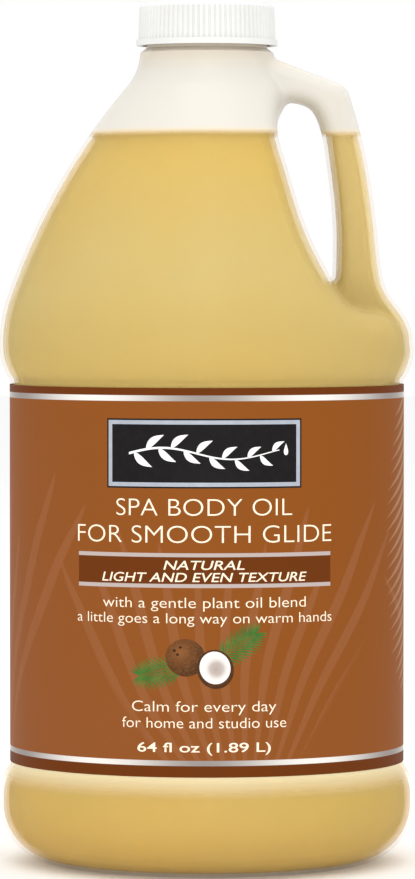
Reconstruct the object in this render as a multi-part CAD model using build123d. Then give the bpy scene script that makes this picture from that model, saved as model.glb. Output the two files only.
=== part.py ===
from build123d import *

import os
from math import acos, cos, pi, radians, sin, sqrt

# Half-gallon massage oil jug: a blow-moulded bottle with a hollow handle, its screw cap, the cap's
# liner, the wrap label and the oil inside.
#
# Frame: millimetres, +Z up through the mouth, origin on the bottle's axis at the plane it stands on,
# handle on the +X side, the middle of the label's front facing -Y.

# ---- bottle: driving dimensions ----
BODY_R = 60.0  # widest radius, at the two bumper rings
WALL = 1.05  # blow-moulded wall
BASE_CORNER_R = 17.0  # rounding between the base and the lower bumper
STANDING_IN_R = 34.0  # inner edge of the flat ring that it stands on
PUSH_UP = 5.0  # how high the middle of the base is domed up
PANEL_R = 56.85  # recessed label panel
LOWER_BUMPER_R = 14.0  # section radius of the bumper below the panel
LOWER_BUMPER_Z = 19.5
UPPER_BUMPER_R = 18.0  # section radius of the bumper above the panel
UPPER_BUMPER_Z = 149.5
SHOULDER_R = 44.3  # section radius where the shoulder starts
SHOULDER_TURN = radians(19.4)
CONE_R = 191.0  # section radius of the long, nearly straight shoulder
NECK_BLEND_R = 15.9
NECK_R = 19.2  # plain ring below the cap

# ---- neck finish, 38 mm class, six threads to the inch ----
RING_TOP_Z = 233.9
FINISH_Z = 235.2  # where the threaded part starts
MOUTH_Z = 245.8  # sealing land
FINISH_R = 17.4  # root of the thread
THREAD_R = 18.6  # crest of the thread
BORE_R = 15.6
LIP_CHAMFER = 0.3
NECK_LAP = 1.6  # how far the finish reaches down into the neck's thin wall
NECK_LAP_T = 0.1  # how much thicker than the wall it is there
TAPER_TOP_Z = 234.7  # where the bore has narrowed from the thin wall to its own size
PITCH = 25.4 / 6
THREAD_BASE_W = 2.2
THREAD_CREST_W = 1.0
THREAD_LOW_Z = 238.2  # where the middle of the thread starts, at +X
THREAD_TURNS = 1.2
THREAD_SINK = 0.15  # how deep a thread's root is sunk into what it stands on

# ---- scoop that makes room for the fingers: its side view, from the top down and out ----
SCOOP_TOP = ((28.6, 218.8), (25.6, 218.9), (22.6, 217.6), (20.6, 214.8))
SCOOP_SIDE = ((20.2, 210.6), (22.3, 202.2), (27.3, 185.4), (32.0, 174.6))
SCOOP_FLOOR = ((35.7, 167.9), (38.8, 163.2), (43.0, 160.7), (49.0, 159.7), (55.0, 156.6), (62.0, 150.4))
SCOOP_EDGE_R = 10.0
SCOOP_REACH_X = 90.0  # beyond the bottle all round

# ---- handle: its side view, and how wide it is along Y ----
HANDLE_W = 19.0
HANDLE_EDGE_R = 4.0
HANDLE_CORNER_R = 6.0
NECK_JOIN_R = 3.0  # blend where the handle meets the neck and the shoulder
FOOT_JOIN_R = 0.8  # tighter where it meets the floor of the scoop, so the finger gap ends in a point
HANDLE_ROOT_X = 12.0  # inside the body
HANDLE_REACH_X = 66.0  # beyond the handle
HANDLE_REACH_Z = (140.0, 245.0)  # below its foot and above its top
HANDLE_CORNER = (40.0, 225.0)  # near where its top and its outer side meet
HANDLE_TOP = ((17.4, 232.8), (66.0, 214.2))
HANDLE_OUTER = ((38.5, 230.0), (41.4, 220.4), (44.4, 210.1), (47.4, 195.2), (49.1, 182.2), (50.1, 172.6))
HANDLE_FOOT = ((51.9, 165.4), (56.2, 159.3), (58.6, 155.0), (59.2, 149.0))
HANDLE_INNER = ((36.0, 150.0), (36.2, 166.0), (36.6, 176.0), (36.1, 190.0), (34.6, 202.6))
HANDLE_ROOF = ((32.4, 213.6), (30.0, 217.7), (26.0, 219.4), (HANDLE_ROOT_X, 220.6))

# ---- oil ----
FILL_Z = 210.8
OIL_GAP = 0.05  # between the oil and the wall

# ---- label ----
LABEL_LOW_Z = 29.5
LABEL_TOP_Z = 138.3
LABEL_T = 0.15
LABEL_GAP = 0.02  # adhesive

# ---- cap and liner ----
CAP_LOW_Z = 235.9
CAP_TOP_Z = 248.2
CAP_TOP_T = 1.4
LINER_T = 1.0
CAP_RIM_R = 20.4
CAP_RIM_TOP_Z = 237.6
CAP_RIB_LOW_R = 19.9
CAP_RIB_TOP_R = 19.4
CAP_CHAMFER = 1.3
RIBS = 80
RIB_DEPTH = 0.35
RIB_CREST_SHARE = 0.54  # of a rib's pitch, flat at the crest
RIB_VALLEY_SHARE = 0.20  # and flat in the groove
CAP_BORE_R = 18.75
CAP_SEAT_R = 18.45  # narrower round the liner
CAP_SEAT_Z = 244.8
CAP_SEAT_TAPER = 0.5  # height of the slope up to the seat
CUT_CLEAR = 1.0  # how far a cutter reaches past an open end
CAP_THREAD_R = 17.65
CAP_THREAD_LOW_Z = 237.5
CAP_THREAD_TURNS = 1.1
LINER_R = 18.3

# ---- tolerances for picking edges ----
TOUCH = 0.02
SAME_PLACE = 0.001


def bottle_outline(inset):
    """Half section of the bottle in XZ, from the axis out and up the neck, which is trimmed later.

    With inset 0 it is the outside, and with the wall's thickness the inside: round stretches keep
    their centres, so both are tangent all the way.
    """
    body_r = BODY_R - inset
    panel_r = PANEL_R - inset
    neck_r = NECK_R - inset
    dome_r = (STANDING_IN_R**2 + PUSH_UP**2) / (2 * PUSH_UP)
    dome_mid_z = PUSH_UP - dome_r
    foot_r = BODY_R - BASE_CORNER_R
    ring_in_r = sqrt((dome_r + inset) ** 2 - (inset - dome_mid_z) ** 2)
    corner_r = BASE_CORNER_R - inset

    lower_mid_x = BODY_R - LOWER_BUMPER_R
    upper_mid_x = BODY_R - UPPER_BUMPER_R
    lower_r = LOWER_BUMPER_R - inset
    upper_r = UPPER_BUMPER_R - inset
    panel_low_z = LOWER_BUMPER_Z + sqrt(lower_r**2 - (panel_r - lower_mid_x) ** 2)
    panel_top_z = UPPER_BUMPER_Z - sqrt(upper_r**2 - (panel_r - upper_mid_x) ** 2)

    shoulder_mid = Vector(BODY_R - SHOULDER_R, UPPER_BUMPER_Z)
    turn = SHOULDER_TURN
    cone_mid = shoulder_mid + (SHOULDER_R - CONE_R) * Vector(cos(turn), sin(turn))
    neck_turn = acos((NECK_R + NECK_BLEND_R - cone_mid.X) / (CONE_R + NECK_BLEND_R))
    blend_mid = cone_mid + (CONE_R + NECK_BLEND_R) * Vector(cos(neck_turn), sin(neck_turn))

    def along(mid, radius, angle):
        return mid + radius * Vector(cos(angle), sin(angle))

    shoulder_r = SHOULDER_R - inset
    cone_r = CONE_R - inset
    blend_r = NECK_BLEND_R + inset
    line = Curve() + [
        ThreePointArc(
            (0, dome_mid_z + dome_r + inset),
            (ring_in_r / 2, dome_mid_z + sqrt((dome_r + inset) ** 2 - ring_in_r**2 / 4)),
            (ring_in_r, inset),
        ),
        Line((ring_in_r, inset), (foot_r, inset)),
        ThreePointArc(
            (foot_r, inset),
            along(Vector(foot_r, BASE_CORNER_R), corner_r, -pi / 4),
            (body_r, BASE_CORNER_R),
        ),
        Line((body_r, BASE_CORNER_R), (body_r, LOWER_BUMPER_Z)),
        RadiusArc((body_r, LOWER_BUMPER_Z), (panel_r, panel_low_z), -lower_r),
        Line((panel_r, panel_low_z), (panel_r, panel_top_z)),
        RadiusArc((panel_r, panel_top_z), (body_r, UPPER_BUMPER_Z), -upper_r),
        ThreePointArc(
            (body_r, UPPER_BUMPER_Z),
            along(shoulder_mid, shoulder_r, turn / 2),
            along(shoulder_mid, shoulder_r, turn),
        ),
        ThreePointArc(
            along(cone_mid, cone_r, turn),
            along(cone_mid, cone_r, (turn + neck_turn) / 2),
            along(cone_mid, cone_r, neck_turn),
        ),
        ThreePointArc(
            along(blend_mid, blend_r, pi + neck_turn),
            along(blend_mid, blend_r, pi + neck_turn / 2),
            (neck_r, blend_mid.Y),
        ),
        Line((neck_r, blend_mid.Y), (neck_r, MOUTH_Z)),
        Line((neck_r, MOUTH_Z), (0, MOUTH_Z)),
        Line((0, MOUTH_Z), (0, dome_mid_z + dome_r + inset)),
    ]
    return make_face(line)


def spun(section):
    """The solid that a half section in XZ sweeps about the axis, with its seam at the back, on -X."""
    return Rot(0, 0, 180) * revolve(Plane.XZ * section, Axis.Z)


def shifted(curve, distance, count=40):
    """A spline through points moved square off a curve in XY, to the left of its direction."""
    points = []
    for i in range(count + 1):
        along, heading = curve @ (i / count), curve % (i / count)
        points.append(along + distance * Vector(-heading.Y, heading.X))
    return Spline(*points) if distance else curve


def scoop(inset):
    """The prism cut through in Y beside the shoulder, leaving room for the handle and the fingers.

    A positive inset makes it larger all round, for the inside of the wall.
    """
    side = shifted(Spline(*SCOOP_TOP, *SCOOP_SIDE, *SCOOP_FLOOR), -inset)
    start, end = side @ 0, side @ 1
    outline = Curve() + [side, Polyline(end, (SCOOP_REACH_X, end.Y), (SCOOP_REACH_X, start.Y), start)]
    return extrude(Plane.XZ.offset(-BODY_R) * make_face(outline), 2 * BODY_R)


def handle(inset):
    """The handle with its roots inside the body: a plate in side view, rounded all along its edges."""
    top = shifted(Line(*HANDLE_TOP), -inset)
    outer = shifted(Spline(*HANDLE_OUTER, *HANDLE_FOOT), -inset)
    inner = shifted(Spline(*HANDLE_INNER, *HANDLE_ROOF), -inset)
    low_z, high_z = HANDLE_REACH_Z
    root = Polyline((HANDLE_REACH_X, low_z), (HANDLE_ROOT_X, low_z), (HANDLE_ROOT_X, (top @ 0).Y), top @ 0)
    under_top = make_face(Curve() + [top, Line(top @ 1, (HANDLE_REACH_X, low_z)), root])
    crown = Polyline(inner @ 1, (HANDLE_ROOT_X, high_z), outer @ 0)
    loop = make_face(Curve() + [outer, Line(outer @ 1, inner @ 0), inner, crown])
    face = under_top & loop
    corner = face.vertices().sort_by_distance(HANDLE_CORNER)[0]
    face = fillet(corner, HANDLE_CORNER_R - inset)
    half_w = HANDLE_W / 2 - inset
    plate = extrude(Plane.XZ.offset(-half_w) * face, 2 * half_w)
    rims = plate.edges().filter_by(lambda edge: abs(abs(edge.center().Y) - half_w) < SAME_PLACE)
    return fillet(rims, HANDLE_EDGE_R - inset)


def jug_form(inset):
    """The whole closed form of the jug below its threads: the outside with inset 0, else the inside."""
    body = spun(bottle_outline(inset)) - scoop(inset)
    cut_edges = [
        edge
        for edge in body.edges()
        if edge.geom_type not in (GeomType.CIRCLE, GeomType.LINE) and edge.bounding_box().max.X > 0
    ]
    body = fillet(cut_edges, SCOOP_EDGE_R - inset)
    grip = handle(inset)
    form = body + grip
    skins = Compound(body.faces()), Compound(grip.faces())

    def is_join(edge):
        return all(skin.distance_to(Vertex(*(edge @ t))) < TOUCH for skin in skins for t in (0.2, 0.5, 0.8))

    form = fillet([e for e in form.edges() if e.center().Z < FILL_Z and is_join(e)], FOOT_JOIN_R + inset)
    if not inset:  # the inside stays sharp here, so the wall is thicker in this corner
        form = fillet([e for e in form.edges() if e.center().Z > FILL_Z and is_join(e)], NECK_JOIN_R)
    return split(form, bisect_by=Plane.XY.offset(RING_TOP_Z), keep=Keep.BOTTOM)


def thread(root_r, crest_r, low_z, turns, start_turn):
    """A thread ridge, out of a cylinder of root_r or into a bore, with its root sunk slightly in."""
    sunk_r = root_r + (THREAD_SINK if crest_r < root_r else -THREAD_SINK)
    path = Pos(0, 0, low_z) * Rot(0, 0, 360 * start_turn) * Helix(PITCH, PITCH * turns, root_r)
    start = path @ 0
    outward = Vector(start.X, start.Y).normalized()
    plane = Plane(origin=(0, 0, start.Z), x_dir=outward, z_dir=path % 0)
    ridge = plane * make_face(
        Polyline(
            (sunk_r, -THREAD_BASE_W / 2),
            (crest_r, -THREAD_CREST_W / 2),
            (crest_r, THREAD_CREST_W / 2),
            (sunk_r, THREAD_BASE_W / 2),
            close=True,
        )
    )
    return sweep(ridge, path=path, is_frenet=True)


def spun_polygon(*points):
    """A ring or disc from its half section's corners, each (radius, z)."""
    return spun(make_face(Polyline(*points, close=True)))


def neck_finish():
    """The threaded neck above the plain ring, tapered inside down into the thin wall."""
    tube = spun_polygon(
        (BORE_R, MOUTH_Z),
        (FINISH_R - LIP_CHAMFER, MOUTH_Z),
        (FINISH_R, MOUTH_Z - LIP_CHAMFER),
        (FINISH_R, FINISH_Z),
        (NECK_R, RING_TOP_Z),
        (NECK_R, RING_TOP_Z - NECK_LAP),
        (NECK_R - WALL - NECK_LAP_T, RING_TOP_Z - NECK_LAP),
        (BORE_R, TAPER_TOP_Z),
    )
    return tube + thread(FINISH_R, THREAD_R, THREAD_LOW_Z, THREAD_TURNS, 0)


def jug_shell():
    """The bottle's skin, open at the mouth and hollow through the handle."""
    return jug_form(0) - jug_form(WALL) + neck_finish()


def oil_fill():
    """The oil, filling body and handle up to its level."""
    return split(jug_form(WALL + OIL_GAP), bisect_by=Plane.XY.offset(FILL_Z), keep=Keep.BOTTOM)


def wrap_label():
    """The printed film round the panel."""
    low_r = PANEL_R + LABEL_GAP
    high_r = low_r + LABEL_T
    low, top = LABEL_LOW_Z, LABEL_TOP_Z
    return spun_polygon((low_r, low), (high_r, low), (high_r, top), (low_r, top))


def ribbed_face(crest_r, z):
    """A disc with the cap's ribs round its edge."""
    valley_r = crest_r - RIB_DEPTH
    crest, valley = RIB_CREST_SHARE / 2, RIB_VALLEY_SHARE / 2
    corners = ((-crest, crest_r), (crest, crest_r), (0.5 - valley, valley_r), (0.5 + valley, valley_r))
    points = []
    for i in range(RIBS):
        for share, radius in corners:
            angle = 2 * pi * (i + share) / RIBS
            points.append((radius * cos(angle), radius * sin(angle)))
    return Plane.XY.offset(z) * make_face(Polyline(*points, close=True))


def screw_cap():
    """The ribbed cap with its rim, its thread and the seat for the liner."""
    skirt = loft([ribbed_face(CAP_RIB_LOW_R, CAP_LOW_Z), ribbed_face(CAP_RIB_TOP_R, CAP_TOP_Z)], ruled=True)
    skirt &= spun_polygon(
        (0, CAP_LOW_Z),
        (CAP_RIM_R, CAP_LOW_Z),
        (CAP_RIM_R, CAP_TOP_Z - CAP_CHAMFER),
        (CAP_RIB_TOP_R, CAP_TOP_Z - CAP_CHAMFER),
        (CAP_RIB_TOP_R - CAP_CHAMFER, CAP_TOP_Z),
        (0, CAP_TOP_Z),
    )
    rim = spun_polygon(
        (CAP_SEAT_R, CAP_LOW_Z),
        (CAP_RIM_R, CAP_LOW_Z),
        (CAP_RIM_R, CAP_RIM_TOP_Z),
        (CAP_SEAT_R, CAP_RIM_TOP_Z),
    )
    inside = spun_polygon(
        (0, CAP_LOW_Z - CUT_CLEAR),
        (CAP_BORE_R, CAP_LOW_Z - CUT_CLEAR),
        (CAP_BORE_R, CAP_SEAT_Z - CAP_SEAT_TAPER),
        (CAP_SEAT_R, CAP_SEAT_Z),
        (CAP_SEAT_R, CAP_TOP_Z - CAP_TOP_T),
        (0, CAP_TOP_Z - CAP_TOP_T),
    )
    # Half a pitch below the neck's thread all the way, so each ridge runs in the other's groove.
    start_turn = (CAP_THREAD_LOW_Z - THREAD_LOW_Z) / PITCH + 0.5
    ridge = thread(CAP_BORE_R, CAP_THREAD_R, CAP_THREAD_LOW_Z, CAP_THREAD_TURNS, start_turn)
    return skirt + rim - inside + ridge


def cap_liner():
    """The foam disc between the cap's top and the mouth."""
    return Pos(0, 0, MOUTH_Z) * Cylinder(LINER_R, LINER_T, align=(Align.CENTER, Align.CENTER, Align.MIN))


os.makedirs("parts", exist_ok=True)
for make in (jug_shell, oil_fill, wrap_label, screw_cap, cap_liner):
    export_step(make(), f"parts/{make.__name__}.step")
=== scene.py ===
# Half-gallon oil jug: natural polyethylene bottle with a hollow handle, filled with golden oil, a
# printed wrap label in its recessed panel and a ribbed white screw cap over a foam liner.
# Everything is in metres in the CAD frame: +Z up, handle on +X, the label's front facing -Y.

import logging
from dataclasses import dataclass
from enum import Enum
from math import cos, hypot, pi, radians, sin

import bmesh
import bpy
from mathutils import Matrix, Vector


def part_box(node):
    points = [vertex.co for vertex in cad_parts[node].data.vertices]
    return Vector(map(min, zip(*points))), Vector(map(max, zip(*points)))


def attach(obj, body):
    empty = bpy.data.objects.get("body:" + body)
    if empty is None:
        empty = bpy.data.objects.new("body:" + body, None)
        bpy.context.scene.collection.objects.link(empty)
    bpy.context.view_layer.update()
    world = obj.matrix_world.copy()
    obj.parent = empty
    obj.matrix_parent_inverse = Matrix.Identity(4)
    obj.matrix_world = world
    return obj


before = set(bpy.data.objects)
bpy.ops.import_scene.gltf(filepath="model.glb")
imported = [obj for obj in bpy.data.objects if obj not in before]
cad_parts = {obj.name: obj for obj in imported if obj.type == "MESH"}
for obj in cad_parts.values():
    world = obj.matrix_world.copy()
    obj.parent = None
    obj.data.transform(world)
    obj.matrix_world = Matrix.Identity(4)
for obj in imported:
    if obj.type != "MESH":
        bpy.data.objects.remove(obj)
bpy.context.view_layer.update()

MM = 0.001
LOG = logging.getLogger("oil_jug")

COORDS = "ShaderNodeTexCoord"
SEPARATE = "ShaderNodeSeparateXYZ"
COMBINE = "ShaderNodeCombineXYZ"
MATH = "ShaderNodeMath"
VECTOR_MATH = "ShaderNodeVectorMath"
RANGE = "ShaderNodeMapRange"
NOISE = "ShaderNodeTexNoise"
VORONOI = "ShaderNodeTexVoronoi"
WHITE_NOISE = "ShaderNodeTexWhiteNoise"
RAMP = "ShaderNodeValToRGB"
MIX = "ShaderNodeMix"
BUMP = "ShaderNodeBump"
MIX_A, MIX_B, MIX_COLOUR = 6, 7, 2  # the colour sockets of a Mix node set to RGBA
SMOOTH = "SMOOTHSTEP"
NOISE_LOW, NOISE_HIGH = 0.3, 0.7  # most of a noise node's values lie between these

Tree = bpy.types.NodeTree
Socket = bpy.types.NodeSocket
Material = bpy.types.Material
Object = bpy.types.Object
Mesh = bpy.types.Mesh
BMesh = bmesh.types.BMesh
Point = tuple[float, float]
Loop = list[Point]


# ---------------------------------------------------------------- shared helpers


def linear(colour: str) -> tuple[float, float, float, float]:
    """Turns an sRGB hex colour into linear RGBA.

    Args:
        colour: six hex digits after a hash.

    Returns:
        Linear red, green and blue, with an alpha of 1.
    """
    channels = (int(colour[i : i + 2], 16) / 255 for i in (1, 3, 5))
    r, g, b = (c / 12.92 if c <= 0.04045 else ((c + 0.055) / 1.055) ** 2.4 for c in channels)
    return r, g, b, 1.0


def add(
    tree: Tree,
    kind: str,
    inputs: dict[int | str, object] | None = None,
    out: int | str = 0,
    stops: tuple[tuple[float, str], ...] = (),
    **settings: object,
) -> Socket:
    """Adds one node with its settings, values and links.

    Args:
        tree: the node tree that it joins.
        kind: the node's type.
        inputs: for each input socket a value, or the socket to link it to.
        out: which output socket to give back.
        stops: for a ramp, each stop's place and sRGB hex colour.
        settings: the node's own properties.

    Returns:
        The node's chosen output socket.
    """
    node = tree.nodes.new(kind)
    for name, value in settings.items():
        setattr(node, name, value)
    for key, value in (inputs or {}).items():
        if isinstance(value, Socket):
            tree.links.new(value, node.inputs[key])
        else:
            node.inputs[key].default_value = value
    for i, (place, colour) in enumerate(stops):
        elements = node.color_ramp.elements
        stop = elements[i] if i < len(elements) else elements.new(place)
        stop.position, stop.color = place, linear(colour)
    return node.outputs[out]


def new_material(name: str, values: dict[str, object]) -> tuple[Material, Tree, bpy.types.Node]:
    """Starts a material from its uniform values.

    Args:
        name: what the real material is and how it was made.
        values: the shader's own sockets and what each is set to.

    Returns:
        The material, its node tree and its surface shader.
    """
    material = bpy.data.materials.new(name)
    material.use_nodes = True
    tree = material.node_tree
    surface = tree.nodes["Principled BSDF"]
    for socket, value in values.items():
        surface.inputs[socket].default_value = value
    return material, tree, surface


def between(tree: Tree, value: Socket, low: float, high: float, soft: float) -> Socket:
    """A mask that is 1 where a value lies between two limits, with soft edges.

    Args:
        tree: the node tree.
        value: what is tested.
        low: lower limit.
        high: upper limit.
        soft: width of each edge.

    Returns:
        The mask's socket.
    """
    half = soft / 2
    rise = add(tree, RANGE, {0: value, 1: low - half, 2: low + half}, interpolation_type=SMOOTH)
    falling = {0: value, 1: high - half, 2: high + half, 3: 1.0, 4: 0.0}
    fall = add(tree, RANGE, falling, interpolation_type=SMOOTH)
    return add(tree, MATH, {0: rise, 1: fall}, operation="MULTIPLY")


def painted(tree: Tree, mask: Socket, under: Socket | tuple, over: Socket | tuple) -> Socket:
    """One colour laid over another where a mask says.

    Args:
        tree: the node tree.
        mask: how much of the upper colour shows.
        under: the lower colour.
        over: the upper colour.

    Returns:
        The mixed colour's socket.
    """
    return add(tree, MIX, {0: mask, MIX_A: under, MIX_B: over}, out=MIX_COLOUR, data_type="RGBA")


def offset(tree: Tree, across: Socket, up: Socket, middle: Point) -> tuple[Socket, Socket, Socket]:
    """How far places on the label lie from one point on it.

    Args:
        tree: the node tree.
        across: millimetres round the label.
        up: millimetres up.
        middle: the point.

    Returns:
        The way across, the way up and the straight distance, in millimetres.
    """
    dx = add(tree, MATH, {0: across, 1: middle[0]}, operation="SUBTRACT")
    dz = add(tree, MATH, {0: up, 1: middle[1]}, operation="SUBTRACT")
    flat = add(tree, COMBINE, {0: dx, 1: dz})
    return dx, dz, add(tree, VECTOR_MATH, {0: flat}, out="Value", operation="LENGTH")


def rows(tree: Tree, value: Socket) -> tuple[Socket, Socket]:
    """Cuts a value into rows that are one unit wide.

    Args:
        tree: the node tree.
        value: what is cut.

    Returns:
        Each row's own chance, from 0 to 1, and how far off its row's middle a place is, up to 0.5.
    """
    index = add(tree, MATH, {0: value}, operation="FLOOR")
    chance = add(tree, WHITE_NOISE, {"W": index}, noise_dimensions="1D")
    inside = add(tree, MATH, {0: value}, operation="FRACT")
    off = add(tree, MATH, {0: inside, 1: 0.5}, operation="SUBTRACT")
    return chance, add(tree, MATH, {0: off}, operation="ABSOLUTE")


def new_object(name: str, data: bpy.types.ID) -> Object:
    """Puts a mesh, a curve, a lamp or a camera in the scene under a name."""
    made = bpy.data.objects.new(name, data)
    bpy.context.scene.collection.objects.link(made)
    return made


def settled(holder: Object) -> Mesh:
    """The mesh that an object comes to, with its modifiers, in place of the object itself."""
    graph = bpy.context.evaluated_depsgraph_get()
    mesh = bpy.data.meshes.new_from_object(holder.evaluated_get(graph))
    bpy.data.objects.remove(holder)
    return mesh


def dress(piece: Object, material: Material) -> None:
    """Gives a piece one material in place of any that it has."""
    piece.data.materials.clear()
    piece.data.materials.append(material)


# ---------------------------------------------------------------- finishes


@dataclass(frozen=True)
class NaturalPolyethylene:
    """Natural high-density polyethylene, blow-moulded: milky and waxy, and clearer where oil wets it."""

    fill_z: float
    wetted: str = "#F6D590"
    milky: str = "#E6E2D8"
    milky_share: tuple[float, float] = (0.08, 0.72)  # of the way from the oil up to the neck
    # The neck's warm tone, which at the neck top also serves as painted shade under the cap.
    warm: str = "#E6DAC6"
    warm_foot: float = 1 * MM
    warm_rise: float = 24 * MM
    warm_cloud: float = 0.1
    # The painted highlight on the shoulder: where it tops out, how far it laps and falls, its strength
    # and its colour.
    shelf_z: float = 30.5 * MM
    shelf_lap: float = 1 * MM
    shelf_fall: float = 8 * MM
    shelf_highlight_strength: float = 0.65
    shelf_highlight_tint: str = "#F5EDC6"
    roughness: float = 0.36
    ior: float = 1.54
    gloss: float = 0.35
    wetted_alpha: float = 0.13
    dry_alpha: float = 0.70
    meniscus: float = 1.6 * MM
    creep: float = 0.35 * MM
    skin_grain: float = 0.5 * MM
    skin_depth: float = 0.003 * MM
    sag_size: float = 22 * MM
    sag_depth: float = 0.05 * MM

    def make(self) -> Material:
        """Builds the material.

        Returns:
            A milky skin that clears below the oil's level.
        """
        material, tree, surface = new_material(
            "natural_polyethylene_blow_moulded",
            {"Roughness": self.roughness, "IOR": self.ior, "Specular IOR Level": self.gloss},
        )
        place = add(tree, COORDS, out="Object")
        height = add(tree, SEPARATE, {0: place}, out=2)

        # The wall's milky crystals scatter light: white where it is dry, and warmer and darker up the
        # neck, partly the thick neck's own tone and partly painted shade under the cap.
        # Under the oil's level it carries the oil's own gold.
        low, top = self.fill_z - self.warm_foot, self.fill_z + self.warm_rise
        tone = add(tree, RANGE, {0: height, 1: low, 2: top})
        start, end = self.milky_share
        tones = ((0.0, self.wetted), (start, self.milky), (end, self.milky), (1.0, self.warm))
        colour = add(tree, RAMP, {0: tone}, stops=tones)
        cloud = add(tree, NOISE, {"Vector": place, "Scale": 1 / self.sag_size, "Detail": 3.0})
        cloudy = add(
            tree, RANGE, {0: cloud, 1: NOISE_LOW, 2: NOISE_HIGH, 3: 0.0, 4: self.warm_cloud}
        )
        tinted = painted(tree, cloudy, colour, linear(self.warm))

        # Painted highlight: on the shoulder under the label, where the thick wall faces the lamps, the
        # wall is laid pale cream and made more opaque in place of light.
        rising = {
            0: height,
            1: self.shelf_z - self.shelf_fall,
            2: self.shelf_z,
            3: 0.0,
            4: self.shelf_highlight_strength,
        }
        shelf = add(tree, RANGE, rising, interpolation_type=SMOOTH)
        under = add(tree, MATH, {0: height, 1: self.shelf_z + self.shelf_lap}, operation="LESS_THAN")
        painted_highlight = add(tree, MATH, {0: shelf, 1: under}, operation="MULTIPLY")
        tinted = painted(tree, painted_highlight, tinted, linear(self.shelf_highlight_tint))
        tree.links.new(tinted, surface.inputs["Base Color"])

        # Oil wets the wall and clears it, up to a soft line that creeps a little along the wall.
        creep = add(tree, RANGE, {0: cloud, 3: -self.creep, 4: self.creep})
        level = add(tree, MATH, {0: height, 1: creep}, operation="ADD")
        drying = {
            0: level,
            1: self.fill_z - self.meniscus,
            2: self.fill_z + self.meniscus / 3,
            3: self.wetted_alpha,
            4: self.dry_alpha,
        }
        dry = add(tree, RANGE, drying, interpolation_type=SMOOTH)
        # The painted highlight also makes the wall more opaque there.
        cover = add(tree, MATH, {0: dry, 1: painted_highlight}, operation="ADD", use_clamp=True)
        tree.links.new(cover, surface.inputs["Alpha"])

        # The mould's fine blasted grain, drawn coarser than the real 0.1 mm so that it shows, over the
        # broad uneven sag of a thin blown wall.
        grain = add(tree, NOISE, {"Vector": place, "Scale": 1 / self.skin_grain, "Detail": 2.0})
        sag = add(tree, BUMP, {"Strength": 1.0, "Distance": self.sag_depth, "Height": cloud})
        skin = add(
            tree, BUMP, {"Strength": 1.0, "Distance": self.skin_depth, "Height": grain, "Normal": sag}
        )
        tree.links.new(skin, surface.inputs["Normal"])
        return material


@dataclass(frozen=True)
class OilDepth:
    """One step down into the oil: how deep it is, how much light it stops and how amber it looks."""

    depth: float
    stops: float
    amber: float


@dataclass(frozen=True)
class GoldenOil:
    """Refined plant oil in bulk: pale where it is thin and deep gold where it is thick."""

    base_z: float
    fill_z: float
    deep: str = "#FCCD50"
    gold: str = "#F0CD50"
    # The pale stop is a painted highlight across the shoulder.
    pale: str = "#EBD782"
    amber: str = "#EFC244"
    slim: str = "#FFE892"
    slim_share: float = 0.85
    handle_x: tuple[float, float] = (33 * MM, 38 * MM)
    handle_z: tuple[float, float] = (160 * MM, 172 * MM)
    roughness: float = 0.5
    ior: float = 1.46
    gloss: float = 0.1
    swirl: float = 60 * MM
    wander: float = 0.12

    def make(self, at: OilDepth) -> Material:
        """Builds the material for one depth in the oil.

        Args:
            at: the depth.

        Returns:
            Gold that drifts slowly and lets the light it doesn't stop go on into the oil.
        """
        material, tree, surface = new_material(
            f"plant_oil_{at.depth / MM:.1f}_mm_deep".replace(".", "_"),
            {
                "Roughness": self.roughness,
                "IOR": self.ior,
                "Specular IOR Level": self.gloss,
                "Alpha": at.stops,
            },
        )
        place = add(tree, COORDS, out="Object")
        side, _, height = add(tree, SEPARATE, {0: place}).node.outputs

        # Up the bottle the gold goes from deep at the foot to gold, with a pale band across the shoulder
        # that is painted highlight, in slow swirls.
        drift = add(tree, NOISE, {"Vector": place, "Scale": 1 / self.swirl, "Detail": 1.0})
        rise = add(tree, RANGE, {0: height, 1: self.base_z, 2: self.fill_z})
        wander = add(tree, RANGE, {0: drift, 3: -self.wander, 4: self.wander})
        place_up = add(tree, MATH, {0: rise, 1: wander}, operation="ADD", use_clamp=True)
        golds = (
            (0.0, self.deep),
            (0.14, self.gold),
            (0.6, self.gold),
            (0.8, self.pale),
            (1.0, self.gold),
        )
        colour = add(tree, RAMP, {0: place_up}, stops=golds)
        amber = add(
            tree, RANGE, {0: drift, 1: NOISE_LOW, 2: NOISE_HIGH, 3: at.amber * 0.8, 4: at.amber}
        )
        bulk = painted(tree, amber, colour, linear(self.amber))

        # The column in the handle is slim, so it is paler than the bulk.
        beyond = add(tree, RANGE, {0: side, 1: self.handle_x[0], 2: self.handle_x[1]})
        above = add(
            tree,
            RANGE,
            {0: height, 1: self.handle_z[0], 2: self.handle_z[1], 3: 0.0, 4: self.slim_share},
        )
        slim = add(tree, MATH, {0: beyond, 1: above}, operation="MULTIPLY")
        tree.links.new(painted(tree, slim, bulk, linear(self.slim)), surface.inputs["Base Color"])
        return material


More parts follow.
